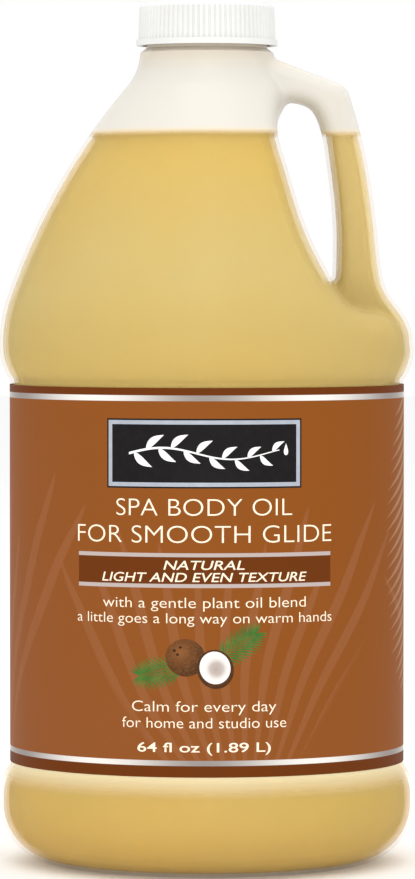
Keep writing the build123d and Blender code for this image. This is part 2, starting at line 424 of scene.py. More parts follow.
@dataclass(frozen=True)
class MouldedPolypropylene:
    """Injection-moulded white polypropylene: dense, clean white with a faint satin grain."""

    top_z: float
    white: str = "#DEDEDB"
    shade: str = "#D4D4D0"
    roughness: float = 0.38
    ior: float = 1.49
    gloss: float = 0.4
    cloud: float = 9 * MM
    grain: float = 0.35 * MM
    grain_depth: float = 0.01 * MM
    turning: float = 0.9 * MM
    turning_depth: float = 0.02 * MM
    top_skin: float = 0.2 * MM

    def make(self) -> Material:
        """Builds the material.

        Returns:
            White plastic with fine turned rings on its flat top.
        """
        material, tree, surface = new_material(
            "white_polypropylene_moulded",
            {"Roughness": self.roughness, "IOR": self.ior, "Specular IOR Level": self.gloss},
        )
        place = add(tree, COORDS, out="Object")
        side, depth, height = add(tree, SEPARATE, {0: place}).node.outputs

        # The white drifts a little, as it does where the melt has flowed.
        cloud = add(tree, NOISE, {"Vector": place, "Scale": 1 / self.cloud, "Detail": 2.0})
        shaded = add(tree, RANGE, {0: cloud, 1: 0.35, 2: 0.75, 3: 0.0, 4: 0.5})
        colour = painted(tree, shaded, linear(self.white), linear(self.shade))
        tree.links.new(colour, surface.inputs["Base Color"])

        # Turning marks of the mould's core pin, as rings about the axis, only on the flat top.
        flat = add(tree, COMBINE, {0: side, 1: depth})
        radius = add(tree, VECTOR_MATH, {0: flat}, out="Value", operation="LENGTH")
        turns = add(tree, MATH, {0: radius, 1: 2 * pi / self.turning}, operation="MULTIPLY")
        rings = add(tree, MATH, {0: turns}, operation="SINE")
        on_top = add(tree, MATH, {0: height, 1: self.top_z - self.top_skin}, operation="GREATER_THAN")
        top_rings = add(tree, MATH, {0: rings, 1: on_top}, operation="MULTIPLY")
        grain = add(tree, NOISE, {"Vector": place, "Scale": 1 / self.grain, "Detail": 2.0})
        turned = add(tree, BUMP, {"Strength": 1.0, "Distance": self.turning_depth, "Height": top_rings})
        skin = add(
            tree,
            BUMP,
            {"Strength": 1.0, "Distance": self.grain_depth, "Height": grain, "Normal": turned},
        )
        tree.links.new(skin, surface.inputs["Normal"])
        return material


@dataclass(frozen=True)
class LinerFoam:
    """Expanded polyethylene foam, skived to a disc: matt, off-white, with fine closed cells."""

    white: str = "#EFEEE9"
    cell_shade: str = "#D9D7CF"
    roughness: float = 0.7
    cell: float = 0.7 * MM
    cell_depth: float = 0.08 * MM

    def make(self) -> Material:
        """Builds the material.

        Returns:
            Foam with closed cells a little under a millimetre across.
        """
        material, tree, surface = new_material(
            "polyethylene_foam_skived", {"Roughness": self.roughness, "Specular IOR Level": 0.3}
        )
        place = add(tree, COORDS, out="Object")
        # Closed cells: a fine pebble, darker in each cell's middle.
        cells = add(tree, VORONOI, {"Vector": place, "Scale": 1 / self.cell})
        colour = painted(tree, cells, linear(self.cell_shade), linear(self.white))
        tree.links.new(colour, surface.inputs["Base Color"])
        bump = add(tree, BUMP, {"Strength": 1.0, "Distance": self.cell_depth, "Height": cells})
        tree.links.new(bump, surface.inputs["Normal"])
        return material


@dataclass(frozen=True)
class LabelSurface:
    """Where the label's outer face is, which all of its inks share."""

    radius: float
    low_z: float
    top_z: float
    turned: float = -0.8  # millimetres round the bottle from dead front to the middle of the print

    def coordinates(self, tree: Tree) -> tuple[Socket, Socket]:
        """Flat coordinates on the label.

        Args:
            tree: the node tree.

        Returns:
            Millimetres round the label from the middle of its front, and millimetres up.
        """
        place = add(tree, COORDS, out="Object")
        side, depth, height = add(tree, SEPARATE, {0: place}).node.outputs
        front = add(tree, MATH, {0: depth, 1: -1.0}, operation="MULTIPLY")
        turn = add(tree, MATH, {0: side, 1: front}, operation="ARCTAN2")
        across = add(
            tree, MATH, {0: turn, 1: self.radius / MM, 2: -self.turned}, operation="MULTIPLY_ADD"
        )
        up = add(tree, MATH, {0: height, 1: 1 / MM}, operation="MULTIPLY")
        return across, up

    def wrapped(self, across: float, up: float, lift: float) -> Vector:
        """A flat point in millimetres laid on the label, lifted off it by lift metres."""
        turn = (across + self.turned) * MM / self.radius
        out = self.radius + lift
        return Vector((out * sin(turn), -out * cos(turn), up * MM))


@dataclass(frozen=True)
class PalmFan:
    """One printed palm frond: narrow leaflets that fan out of a root, in millimetres on the label."""

    root: Point
    spacing: float  # radians from leaflet to leaflet
    left: float  # degrees
    right: float  # degrees
    reach: float
    bend: float
    shortest: float = 0.75  # leaflet, as a share of the reach
    belly: float = 0.25  # greatest half width, as a share of the spacing
    edge: float = 0.06

    def mask(self, tree: Tree, across: Socket, up: Socket) -> Socket:
        """Draws the frond.

        Args:
            tree: the node tree.
            across: millimetres round the label.
            up: millimetres up.

        Returns:
            A mask that is 1 on the leaflets.
        """
        dx, dz, out = offset(tree, across, up, self.root)
        turn = add(tree, MATH, {0: dx, 1: dz}, operation="ARCTAN2")
        arched = add(tree, MATH, {0: out, 1: self.bend, 2: turn}, operation="MULTIPLY_ADD")
        waver = add(
            tree, NOISE, {"Vector": add(tree, COMBINE, {0: out}), "Scale": 0.03, "Detail": 0.0}
        )
        row = add(tree, MATH, {0: arched, 1: 1 / self.spacing}, operation="MULTIPLY")
        row = add(tree, MATH, {0: waver, 1: 0.5, 2: row}, operation="MULTIPLY_ADD")
        chance, off_middle = rows(tree, row)

        # A leaflet is widest halfway out and narrows to both ends.
        limit = add(tree, RANGE, {0: chance, 3: self.shortest * self.reach, 4: self.reach})
        share = add(tree, MATH, {0: out, 1: limit}, operation="DIVIDE")
        belly = add(tree, MATH, {0: share, 1: pi}, operation="MULTIPLY")
        belly = add(tree, MATH, {0: belly}, operation="SINE")
        belly = add(tree, MATH, {0: belly, 1: 0.6}, operation="POWER")
        width = add(tree, RANGE, {0: belly, 3: 0.0, 4: self.belly})
        on_leaf = add(tree, MATH, {0: width, 1: off_middle}, operation="SUBTRACT")
        leaf = add(tree, RANGE, {0: on_leaf, 1: 0.0, 2: self.edge}, interpolation_type=SMOOTH)
        within = between(tree, arched, radians(self.left), radians(self.right), radians(3))
        ends = add(tree, RANGE, {0: share, 1: 0.97, 2: 1.0, 3: 1.0, 4: 0.0})
        leaf = add(tree, MATH, {0: leaf, 1: within}, operation="MULTIPLY")
        return add(tree, MATH, {0: leaf, 1: ends}, operation="MULTIPLY")


@dataclass(frozen=True)
class PrintedFilm:
    """Polypropylene label film printed in brown, with darker bands, silver rules and pale fronds."""

    face: LabelSurface
    brown: str = "#874C1C"
    pink_brown: str = "#8A522D"
    frond: str = "#915A36"
    comb: str = "#A67E5E"
    dark: str = "#663310"
    silver: str = "#938B87"
    silver_glint: str = "#E6E2DC"
    rule: str = "#B5A8A3"
    roughness: float = 0.5
    ior: float = 1.49
    gloss: float = 0.03
    cloud: float = 30 * MM
    pink_left: tuple[float, float, float] = (15.0, -50.0, 0.3)  # from, to and how strong
    pink_foot: tuple[float, float, float] = (95.0, 30.0, 0.35)
    pink_cloud: float = 0.3
    fans: tuple[PalmFan, ...] = (
        PalmFan((12.5, 8.0), radians(6.6), -46.0, 27.0, 112.0, -0.0016),
        PalmFan((-92.0, 6.0), radians(7.2), -34.0, 26.0, 122.0, -0.0010),
        PalmFan((130.0, 8.0), radians(7.0), -38.0, 34.0, 116.0, 0.0014),
    )
    fan_ink: float = 0.7
    edge: float = 0.12
    dark_edge: float = 0.05
    glint_pitch: float = 66.0
    ripple: float = 14 * MM
    ripple_depth: float = 0.05 * MM
    top_rule: tuple[float, float] = (134.6, 136.2)
    low_rule: tuple[float, float] = (32.7, 34.2)
    band: tuple[float, float] = (83.6, 91.1)
    band_rule: float = 1.1
    band_half: float = 38.1
    comb_spine: float = 92.0
    comb_pitch: float = 3.7
    comb_slope: float = 0.45
    comb_reach: float = 31.0
    comb_ragged: float = 3.0
    comb_least: float = 0.1
    comb_foot: float = 52.0
    comb_head: float = 152.0
    comb_width: float = 0.27
    comb_ink: float = 0.7

    def make(self) -> Material:
        """Builds the material.

        Returns:
            The label's whole background print.
        """
        material, tree, surface = new_material(
            "polypropylene_film_printed",
            {"Roughness": self.roughness, "IOR": self.ior, "Specular IOR Level": self.gloss},
        )
        across, up = self.face.coordinates(tree)
        place = add(tree, COORDS, out="Object")

        # Flat brown ink that runs pinker to the left and to the foot.
        cloud = add(tree, NOISE, {"Vector": place, "Scale": 1 / self.cloud, "Detail": 2.0})
        left, foot = (
            add(tree, RANGE, {0: value, 1: start, 2: end, 3: 0.0, 4: share})
            for value, (start, end, share) in ((across, self.pink_left), (up, self.pink_foot))
        )
        pink = add(tree, MATH, {0: left, 1: foot}, operation="ADD")
        pink = add(tree, MATH, {0: cloud, 1: self.pink_cloud, 2: pink}, operation="MULTIPLY_ADD")
        pink = add(tree, MATH, {0: pink, 1: self.pink_cloud / 2}, operation="SUBTRACT", use_clamp=True)
        colour = painted(tree, pink, linear(self.brown), linear(self.pink_brown))

        # Palm fronds in a slightly paler brown, and one at the side in a much paler one.
        for fan in self.fans:
            leaves = fan.mask(tree, across, up)
            leaves = add(tree, MATH, {0: leaves, 1: self.fan_ink}, operation="MULTIPLY")
            colour = painted(tree, leaves, colour, linear(self.frond))
        colour = painted(tree, self.side_comb(tree, across, up), colour, linear(self.comb))

        # The band behind two of the text lines, with a rule along its top and its foot.
        low, top = self.band
        off = add(tree, MATH, {0: across}, operation="ABSOLUTE")
        in_band = add(tree, MATH, {0: off, 1: self.band_half}, operation="LESS_THAN")
        for limits, ink in (
            ((low - self.band_rule, top + self.band_rule), self.rule),
            ((low, top), self.dark),
        ):
            stripe = between(tree, up, *limits, self.edge)
            stripe = add(tree, MATH, {0: stripe, 1: in_band}, operation="MULTIPLY")
            colour = painted(tree, stripe, colour, linear(ink))

        # Dark edge bands, and silver rules laid brighter either side of the front as a painted
        # reflection of their metal ink.
        low, top = self.low_rule[0], self.top_rule[1]
        soft = self.dark_edge
        below = add(tree, RANGE, {0: up, 1: low - soft, 2: low + soft, 3: 1.0, 4: 0.0})
        above = add(tree, RANGE, {0: up, 1: top - soft, 2: top + soft})
        edges = add(tree, MATH, {0: below, 1: above}, operation="ADD")
        colour = painted(tree, edges, colour, linear(self.dark))
        # Painted reflection: the silver is coloured brighter where the metal would catch the light.
        painted_glint = add(tree, MATH, {0: across, 1: 2 * pi / self.glint_pitch}, operation="MULTIPLY")
        painted_glint = add(tree, MATH, {0: painted_glint}, operation="COSINE")
        painted_glint = add(tree, RANGE, {0: painted_glint, 1: 1.0, 2: -1.0})
        silver = painted(tree, painted_glint, linear(self.silver), linear(self.silver_glint))
        high = between(tree, up, *self.top_rule, self.edge)
        rules = add(
            tree, MATH, {0: high, 1: between(tree, up, *self.low_rule, self.edge)}, operation="ADD"
        )
        colour = painted(tree, rules, colour, silver)
        tree.links.new(colour, surface.inputs["Base Color"])

        # Film laid on a blown wall is never quite flat.
        ripple = add(tree, NOISE, {"Vector": place, "Scale": 1 / self.ripple, "Detail": 1.0})
        skin = add(tree, BUMP, {"Strength": 1.0, "Distance": self.ripple_depth, "Height": ripple})
        tree.links.new(skin, surface.inputs["Normal"])
        return material

    def side_comb(self, tree: Tree, across: Socket, up: Socket) -> Socket:
        """A frond laid on its side: short leaflets on each side of an upright spine.

        Args:
            tree: the node tree.
            across: millimetres round the label.
            up: millimetres up.

        Returns:
            A mask that is 1 on the leaflets.
        """
        off = add(tree, MATH, {0: across, 1: self.comb_spine}, operation="SUBTRACT")
        off = add(tree, MATH, {0: off}, operation="ABSOLUTE")
        slanted = add(tree, MATH, {0: off, 1: self.comb_slope, 2: up}, operation="MULTIPLY_ADD")
        row = add(tree, MATH, {0: slanted, 1: 1 / self.comb_pitch}, operation="MULTIPLY")
        ragged, off_middle = rows(tree, row)

        # The frond is widest at its middle height and closes to a point at both ends.
        rise = add(tree, RANGE, {0: slanted, 1: self.comb_foot, 2: self.comb_head})
        swell = add(tree, MATH, {0: rise, 1: pi}, operation="MULTIPLY")
        swell = add(tree, MATH, {0: swell}, operation="SINE")
        swell = add(tree, MATH, {0: swell, 1: 0.35}, operation="POWER")
        reach = add(
            tree, RANGE, {0: ragged, 3: self.comb_reach - self.comb_ragged, 4: self.comb_reach}
        )
        reach = add(tree, MATH, {0: reach, 1: swell}, operation="MULTIPLY")
        # A reach of nothing would divide to nothing and ink every row, so it is held above zero.
        reach = add(tree, MATH, {0: reach, 1: self.comb_least}, operation="MAXIMUM")
        share = add(tree, MATH, {0: off, 1: reach}, operation="DIVIDE")
        width = add(tree, RANGE, {0: share, 1: 0.6, 2: 1.0, 3: self.comb_width, 4: 0.0})
        leaflet = add(tree, MATH, {0: width, 1: off_middle}, operation="SUBTRACT")
        leaflet = add(tree, RANGE, {0: leaflet, 1: 0.0, 2: 0.08}, interpolation_type=SMOOTH)
        return add(tree, MATH, {0: leaflet, 1: self.comb_ink}, operation="MULTIPLY")


@dataclass(frozen=True)
class PrintedInk:
    """One ink printed on the film: a thin, slightly uneven layer."""

    name: str
    colour: str
    shade: str
    roughness: float = 0.4
    mottle: float = 1.2 * MM
    metallic: float = 0.0
    gloss: float = 0.12

    def make(self) -> Material:
        """Builds the material.

        Returns:
            The ink, mottled as a printed solid is.
        """
        material, tree, surface = new_material(
            self.name,
            {
                "Roughness": self.roughness,
                "Metallic": self.metallic,
                "Specular IOR Level": self.gloss,
            },
        )
        place = add(tree, COORDS, out="Object")
        # Printed solids are never quite even.
        mottle = add(tree, NOISE, {"Vector": place, "Scale": 1 / self.mottle, "Detail": 2.0})
        amount = add(tree, RANGE, {0: mottle, 1: 0.4, 2: 0.75, 3: 0.0, 4: 0.6})
        colour = painted(tree, amount, linear(self.colour), linear(self.shade))
        tree.links.new(colour, surface.inputs["Base Color"])
        return material


@dataclass(frozen=True)
class PictureInk:
    """Process print of a round thing: toned in rings about one point, in label millimetres."""

    name: str
    face: LabelSurface
    heart: Point
    radius: float
    stops: tuple[tuple[float, str], ...]
    fleck: str
    fleck_share: float
    fibre: float = 0.5 * MM
    roughness: float = 0.45
    gloss: float = 0.12

    def make(self) -> Material:
        """Builds the material.

        Returns:
            The shaded print.
        """
        material, tree, surface = new_material(
            self.name, {"Roughness": self.roughness, "Specular IOR Level": self.gloss}
        )
        # Rings of tone about a point off the disc's middle make it look round, or hollow.
        *_, out = offset(tree, *self.face.coordinates(tree), self.heart)
        share = add(tree, MATH, {0: out, 1: 1 / self.radius}, operation="MULTIPLY")
        colour = add(tree, RAMP, {0: share}, stops=self.stops)

        # Fibres break the tone up, as on husk.
        place = add(tree, COORDS, out="Object")
        fibres = add(
            tree, NOISE, {"Vector": place, "Scale": 1 / self.fibre, "Detail": 3.0, "Distortion": 1.5}
        )
        flecks = add(tree, RANGE, {0: fibres, 1: 0.45, 2: 0.7, 3: 0.0, 4: self.fleck_share})
        tree.links.new(painted(tree, flecks, colour, linear(self.fleck)), surface.inputs["Base Color"])
        return material


@dataclass(frozen=True)
class SeamlessPaper:
    """Matt white background paper, with the faint tooth of uncoated stock."""

    white: str = "#FBFBFB"
    shade: str = "#F7F7F7"
    tooth: float = 1.5 * MM

    def make(self) -> Material:
        """Builds the material.

        Returns:
            Pale paper for the floor.
        """
        material, tree, surface = new_material(
            "seamless_paper", {"Roughness": 0.9, "Specular IOR Level": 0.1}
        )
        place = add(tree, COORDS, out="Object")
        tooth = add(tree, NOISE, {"Vector": place, "Scale": 1 / self.tooth, "Detail": 2.0})
        colour = painted(tree, tooth, linear(self.white), linear(self.shade))
        tree.links.new(colour, surface.inputs["Base Color"])
        return material


# ---------------------------------------------------------------- the oil jug


OIL_SKIN = OilDepth(0.0, 0.32, 0.0)
OIL_DEPTHS = (
    OilDepth(0.7 * MM, 0.22, 0.05),
    OilDepth(1.5 * MM, 0.26, 0.1),
    OilDepth(2.4 * MM, 0.34, 0.2),
    OilDepth(3.5 * MM, 0.5, 0.3),
    OilDepth(4.9 * MM, 1.0, 0.4),
)


@dataclass
class Jug:
    """The blown bottle and the oil in it, which is built up in nested depths as light sinks into it."""

    shell: Object
    oil: Object
    body: str = "jug"
    slot: str = "oil"
    voxel: float = 1.4 * MM
    band: float = 6.0 * MM
    headroom: float = 9.0 * MM
    step_down: float = 0.05 * MM

    def shrinker(self, depth: float) -> Tree:
        """Geometry nodes that draw a closed mesh in by a depth.

        Args:
            depth: how far in.

        Returns:
            The node group.
        """
        group = bpy.data.node_groups.new("drawn_in", "GeometryNodeTree")
        for way in ("INPUT", "OUTPUT"):
            group.interface.new_socket("Geometry", in_out=way, socket_type="NodeSocketGeometry")
        closed = add(group, "NodeGroupInput")
        fog = add(
            group,
            "GeometryNodeMeshToVolume",
            {"Mesh": closed, "Voxel Size": self.voxel, "Interior Band Width": self.band},
            resolution_mode="VOXEL_SIZE",
        )
        skin = add(group, "GeometryNodeVolumeToMesh", {"Volume": fog, "Threshold": depth / self.band})
        group.links.new(skin, group.nodes.new("NodeGroupOutput").inputs[0])
        return group

    def depth_mesh(self, name: str, depth: float, top: float) -> Mesh:
        """The oil's own form drawn in by a depth, but still up to its level.

        Args:
            name: the mesh's name.
            depth: how far in.
            top: the height that it is cut off at.

        Returns:
            The closed mesh.
        """
        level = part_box(self.oil.name)[1].z
        tall = self.oil.data.copy()
        for v in tall.vertices:
            if v.co.z > level - self.step_down:
                v.co.z += self.headroom
        holder = new_object(name, tall)
        holder.modifiers.new("drawn_in", "NODES").node_group = self.shrinker(depth)
        mesh = settled(holder)
        bpy.data.meshes.remove(tall)
        data = bmesh.new()
        data.from_mesh(mesh)
        cut = bmesh.ops.bisect_plane(
            data,
            geom=data.verts[:] + data.edges[:] + data.faces[:],
            plane_co=(0, 0, top),
            plane_no=(0, 0, 1),
            clear_outer=True,
        )
        rim = [e for e in cut["geom_cut"] if isinstance(e, bmesh.types.BMEdge)]
        lids = bmesh.ops.holes_fill(data, edges=rim)["faces"]
        bmesh.ops.triangulate(data, faces=lids)
        bmesh.ops.recalc_face_normals(data, faces=data.faces)
        data.to_mesh(mesh)
        data.free()
        mesh.shade_smooth()
        return mesh

    def build(self) -> list[Object]:
        """Dresses the bottle and its oil, and builds the oil's depths.

        Returns:
            The pieces.
        """
        low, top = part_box(self.oil.name)
        finish = GoldenOil(low.z, top.z)
        dress(self.oil, finish.make(OIL_SKIN))
        # Light soaks through clear oil, so neither its skin nor any depth shades the next one in.
        self.oil.visible_shadow = False
        dress(self.shell, NaturalPolyethylene(top.z).make())
        pieces = [self.shell, self.oil]
        for i, at in enumerate(OIL_DEPTHS, 1):
            name = f"oil_depth_{i}"
            piece = new_object(name, self.depth_mesh(name, at.depth, top.z - i * self.step_down))
            dress(piece, finish.make(at))
            piece.visible_shadow = False
            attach(piece, self.body)
            pieces.append(piece)
        return pieces


@dataclass
class Closure:
    """The screw cap and the foam disc that seals under it."""

    cap: Object
    liner: Object

    def build(self) -> list[Object]:
        """Dresses the cap and its liner.

        Returns:
            The pieces.
        """
        dress(self.cap, MouldedPolypropylene(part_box(self.cap.name)[1].z).make())
        dress(self.liner, LinerFoam().make())
        return [self.cap, self.liner]


class Hand(Enum):
    """How a line of text is drawn: how far its outlines are pushed out, and its slant."""

    LIGHT = (-0.014, 0.0)
    PLAIN = (-0.008, 0.0)
    BOLD = (0.008, 0.0)
    BOLD_SLANTED = (0.006, 0.2)


@dataclass(frozen=True)
class TextLine:
    """One printed line, in label millimetres: its words, its foot, its top and half of its width."""

    name: str
    words: str
    low: float
    top: float
    half: float
    hand: Hand


TEXT_LINES = (
    TextLine("title_upper", "SPA BODY OIL", 102.6, 107.3, 25.4, Hand.LIGHT),
    TextLine("title_lower", "FOR SMOOTH GLIDE", 95.0, 99.8, 38.4, Hand.LIGHT),
    TextLine("band_upper", "NATURAL", 87.6, 90.1, 11.4, Hand.BOLD_SLANTED),
    TextLine("band_lower", "LIGHT AND EVEN TEXTURE", 84.2, 86.7, 30.0, Hand.BOLD_SLANTED),
    TextLine("note_upper", "with a gentle plant oil blend", 76.9, 79.8, 29.7, Hand.PLAIN),
    TextLine("note_lower", "a little goes a long way on warm hands", 72.6, 75.4, 38.5, Hand.PLAIN),
    TextLine("promise_upper", "Calm for every day", 47.9, 50.8, 20.6, Hand.PLAIN),
    TextLine("promise_lower", "for home and studio use", 43.3, 46.2, 23.6, Hand.PLAIN),
    TextLine("contents", "64 fl oz (1.89 L)", 36.6, 39.2, 19.0, Hand.BOLD),
)


@dataclass
class Label:
    """The wrap label: its film, its overlap at the back and every printed piece on its face."""

    film: Object
    face: LabelSurface
    step: float = 1.4  # between the cuts that let a flat print bend round the bottle
    merge: float = 1e-5  # closer than this, two vertices are one
    ink_lift: float = 0.03 * MM
    body: str = "jug"
    slot: str = "label_film"
    plate_half: float = 28.3
    plate_low: float = 110.3
    plate_top: float = 129.7
    plate_line: float = 0.45
    plate_frame: float = 1.15
    overlap_half: float = 6.0

    def laid(self, name: str, data: BMesh, lift: float, material: Material) -> Object:
        """Lays a flat mesh, in label millimetres, on the label's face.

        Args:
            name: the piece's name.
            data: the flat mesh, across along X and up along Y.
            lift: how far it stands off the film, in metres.
            material: its ink.

        Returns:
            The printed piece, riding on the bottle.
        """
        bmesh.ops.triangulate(data, faces=data.faces)
        reach = [v.co.x for v in data.verts]
        cut = (int(min(reach) / self.step) - 1) * self.step
        while cut < max(reach):
            bmesh.ops.bisect_plane(
                data,
                geom=data.verts[:] + data.edges[:] + data.faces[:],
                plane_co=(cut, 0, 0),
                plane_no=(1, 0, 0),
                dist=self.merge,
            )
            cut += self.step
        for v in data.verts:
            v.co = self.face.wrapped(v.co.x, v.co.y, lift)
        bmesh.ops.recalc_face_normals(data, faces=data.faces)
        for f in data.faces:
            middle = f.calc_center_median()
            if f.normal.dot(Vector((middle.x, middle.y, 0))) < 0:
                f.normal_flip()
        mesh = bpy.data.meshes.new(name)
        data.to_mesh(mesh)
        data.free()
        mesh.shade_smooth()
        piece = new_object(name, mesh)
        dress(piece, material)
        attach(piece, self.body)
        return piece

    def shapes(self, name: str, loops: list[Loop], lift: float, material: Material) -> Object:
        """Prints closed outlines as one piece.

        Args:
            name: the piece's name.
            loops: each outline's corners, in label millimetres.
            lift: how far the ink stands off the film.
            material: its ink.

        Returns:
            The printed piece.
        """
        data = bmesh.new()
        for loop in loops:
            data.faces.new([data.verts.new((x, z, 0)) for x, z in loop])
        return self.laid(name, data, lift, material)

    def text(self, line: TextLine, material: Material) -> Object:
        """Prints one line of text.

        Args:
            line: what it says and where.
            material: its ink.

        Returns:
            The printed line.
        """
        thick, slant = line.hand.value
        words = self.lettering(line.words, thick, slant)
        capital = self.lettering("H", thick, 0.0)
        tall = max(v.co.y for v in capital.verts)
        reach = [v.co.x for v in words.verts]
        middle, half = (max(reach) + min(reach)) / 2, (max(reach) - min(reach)) / 2
        for v in words.verts:
            v.co.x = (v.co.x - middle) * line.half / half
            v.co.y = line.low + v.co.y * (line.top - line.low) / tall
        capital.free()
        return self.laid(f"label_{line.name}", words, self.ink_lift * 1.6, material)

    def lettering(self, words: str, thick: float, slant: float) -> BMesh:
        """Flat letters at a size of 1.

        Args:
            words: what they say.
            thick: how far each outline is pushed out.
            slant: their shear.

        Returns:
            The letters' mesh, on the baseline.
        """
        curve = bpy.data.curves.new("lettering", "FONT")
        curve.body, curve.offset, curve.shear, curve.resolution_u = words, thick, slant, 5
        curve.align_x = "CENTER"
        mesh = settled(new_object("lettering", curve))
        data = bmesh.new()
        data.from_mesh(mesh)
        bpy.data.curves.remove(curve)
        bpy.data.meshes.remove(mesh)
        bmesh.ops.remove_doubles(data, verts=data.verts, dist=self.merge)
        return data

    def plate(self) -> list[Object]:
        """The dark name plate, with its frame and a sprig in place of any name.

        Returns:
            The plate's pieces.
        """
        black = PrintedInk(
            "black_ink_printed", "#1B191A", "#211F20", roughness=0.45, mottle=2.0 * MM, gloss=0.05
        ).make()
        silver = PrintedInk(
            "silver_ink_printed", "#A2A8B2", "#B0B6C0", mottle=3.0 * MM, metallic=0.1, gloss=0.3
        ).make()
        white = PrintedInk("white_ink_printed", "#F1F1EF", "#E6E6E4").make()
        line, rim = self.plate_line, self.plate_line + self.plate_frame
        pieces = [
            self.shapes("label_plate_line", self.border(0.0, line), self.ink_lift, black),
            self.shapes("label_plate_frame", self.border(line, rim), self.ink_lift, silver),
        ]
        half, low, top = self.plate_half - rim, self.plate_low + rim, self.plate_top - rim
        panel = [[(-half, low), (half, low), (half, top), (-half, top)]]
        pieces.append(self.shapes("label_plate_panel", panel, self.ink_lift, black))
        pieces.append(self.shapes("label_plate_sprig", self.sprig(), self.ink_lift * 2, white))
        return pieces

    def border(self, outer: float, inner: float) -> list[Loop]:
        """A mitred frame round the plate.

        Args:
            outer: how far in from the plate's edge it starts.
            inner: how far in it ends.

        Returns:
            Its four sides.
        """
        corners = []
        for inset in (outer, inner):
            half = self.plate_half - inset
            low, top = self.plate_low + inset, self.plate_top - inset
            corners.append([(-half, low), (half, low), (half, top), (-half, top)])
        out, into = corners
        return [[out[i], out[(i + 1) % 4], into[(i + 1) % 4], into[i]] for i in range(4)]

    def leaf(self, base: Point, tip: Point, width: float, bow: float = 0.0, points: int = 9) -> Loop:
        """A pointed leaf between two points.

        Args:
            base: where it grows from.
            tip: where it ends.
            width: its greatest half width.
            bow: how far its middle line bends to the left.
            points: how many corners each side has.

        Returns:
            Its outline.
        """
        dx, dz = tip[0] - base[0], tip[1] - base[1]
        length = hypot(dx, dz)
        nx, nz = -dz / length, dx / length

        def side(sign: int, shares: list[float]) -> Loop:
            """One edge of the leaf."""
            edge = []
            for t in shares:
                off = bow * sin(pi * t) + sign * width * sin(pi * t**0.8)
                edge.append((base[0] + dx * t + nx * off, base[1] + dz * t + nz * off))
            return edge

        shares = [i / (points - 1) for i in range(points)]
        return side(1, shares) + side(-1, shares[-2:0:-1])

    def sprig(self) -> list[Loop]:
        """A waving twig with leaves on alternate sides, and a drop of oil at its end.

        Returns:
            The outlines of the stem, the leaves and the drop.
        """
        middle = (self.plate_low + self.plate_top) / 2
        reach, wave, swing = 21.5, 1.6, 2.2 * pi
        stem_half, thinning = 0.34, 0.6
        count, longest, shrink, lean = 12, 6.4, 2.2, (0.86, 0.66)
        widest, narrowing, bow = 1.05, 0.3, 0.6
        drop_gap, drop_rise, drop_half, drop_tall, drop_point = 2.0, 0.2, 0.95, 1.7, 1.6

        def stem(t: float) -> Point:
            """A place along the stem, from 0 to 1."""
            return reach * (2 * t - 1), middle + wave * sin(swing * t)

        along = [i / 60 for i in range(61)]
        thin = [stem_half * (1 - thinning * t) for t in along]
        loops = [
            [(stem(t)[0], stem(t)[1] + w) for t, w in zip(along, thin)]
            + [(stem(t)[0], stem(t)[1] - w) for t, w in zip(reversed(along), reversed(thin))]
        ]
        for i in range(count):
            t = (i + 0.4) / count
            x, z = stem(t)
            side = 1 if i % 2 else -1
            size = longest - shrink * t
            tip = (x + size * lean[0], z + side * size * lean[1])
            loops.append(self.leaf((x, z), tip, widest - narrowing * t, side * bow))
        end, drop_z = stem(1.0)
        turns = [2 * pi * i / 32 for i in range(32)]
        drop = [(drop_half * sin(a) * sin(a / 2) ** drop_point, drop_tall * cos(a)) for a in turns]
        loops.append([(end + drop_gap + x, drop_z + drop_rise + z) for x, z in drop])
        return loops

    def frond(self, root: Point, heading: float, length: float, spread: float, count: int) -> list[Loop]:
        """A small green palm leaf.

        Args:
            root: where its stalk starts.
            heading: which way it points, in degrees from across to up.
            length: its length.
            spread: how long its middle leaflets are.
            count: how many leaflets each side has.

        Returns:
            The outlines of its leaflets and stalk.
        """
        stalk_half, leaflet_half, droop = 0.16, 0.26, -0.25
        first, span = 0.08, 0.88
        splay, closing = 52, 26
        a = radians(heading)
        tip = (root[0] + length * cos(a), root[1] + length * sin(a))
        loops = [self.leaf(root, tip, stalk_half)]
        for i in range(count):
            t = first + span * i / count
            x, z = root[0] + (tip[0] - root[0]) * t, root[1] + (tip[1] - root[1]) * t
            reach = spread * (0.55 + 0.45 * sin(pi * t)) * (1 - 0.35 * t)
            for side in (-1, 1):
                b = a + side * radians(splay - closing * t)
                end = (x + reach * cos(b), z + reach * sin(b))
                loops.append(self.leaf((x, z), end, leaflet_half, side * droop, 6))
        return loops

    def disc(self, across: float, up: float, wide: float, tall: float, tilt: float = 0.0) -> Loop:
        """An ellipse's outline.

        Args:
            across: its middle, round the label.
            up: its middle's height.
            wide: its half width.
            tall: its half height.
            tilt: how far it is turned, in degrees.

        Returns:
            The outline.
        """
        t = radians(tilt)
        loop = []
        for i in range(48):
            a = 2 * pi * i / 48
            x, z = wide * cos(a), tall * sin(a)
            loop.append((across + x * cos(t) - z * sin(t), up + x * sin(t) + z * cos(t)))
        return loop

